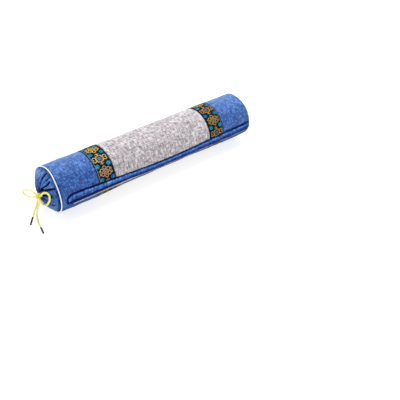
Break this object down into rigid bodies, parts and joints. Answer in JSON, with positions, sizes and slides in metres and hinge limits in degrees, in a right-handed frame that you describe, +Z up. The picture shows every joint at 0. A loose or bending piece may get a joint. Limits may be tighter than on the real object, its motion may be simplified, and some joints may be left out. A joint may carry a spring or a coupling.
{
  "type": "bolster pillow",
  "caption": "Round cloth bolster for under the neck: piped ends, woven ribbon bands, a flap over a long zip, and one gathered end tied with a drawstring bow.",
  "frame": {"origin": "bottom centre of the roll without its drawstring: on the surface it lies on, midway between the two domed ends and midway across the roll and its flap", "axes": "+X along the roll, away from the tied end; -Y is the front, where the zip's flap is; +Z up"},
  "size_m": [0.5529, 0.1055, 0.0982],
  "materials": {
    "blue_cloth": "matt melange linen weave",
    "grey_cloth": "matt melange linen weave",
    "ribbon_weave": "woven jacquard with metallic gold and turquoise threads",
    "piping_cloth": "smooth satin",
    "zip_cream": "woven tape",
    "cord_yellow": "braided, slightly glossy",
    "tip_dark": "dark polished"
  },
  "bodies": {
    "root": {"panel_left": "blue_cloth", "panel_middle": "grey_cloth", "panel_right": "blue_cloth", "ribbon_left": "ribbon_weave", "ribbon_right": "ribbon_weave", "flap": "blue_cloth", "zip_tape": "zip_cream", "zip_chain": "zip_cream", "piping_left": "piping_cloth", "piping_right": "piping_cloth", "gather_left": "blue_cloth", "gather_right": "blue_cloth", "bow_knot": "cord_yellow", "cord_loop_back": "cord_yellow", "cord_loop_front": "cord_yellow", "cord_end_back": "cord_yellow", "cord_end_front": "cord_yellow", "tip_end_back": "tip_dark", "tip_end_front": "tip_dark"}
  },
  "joints": []
}
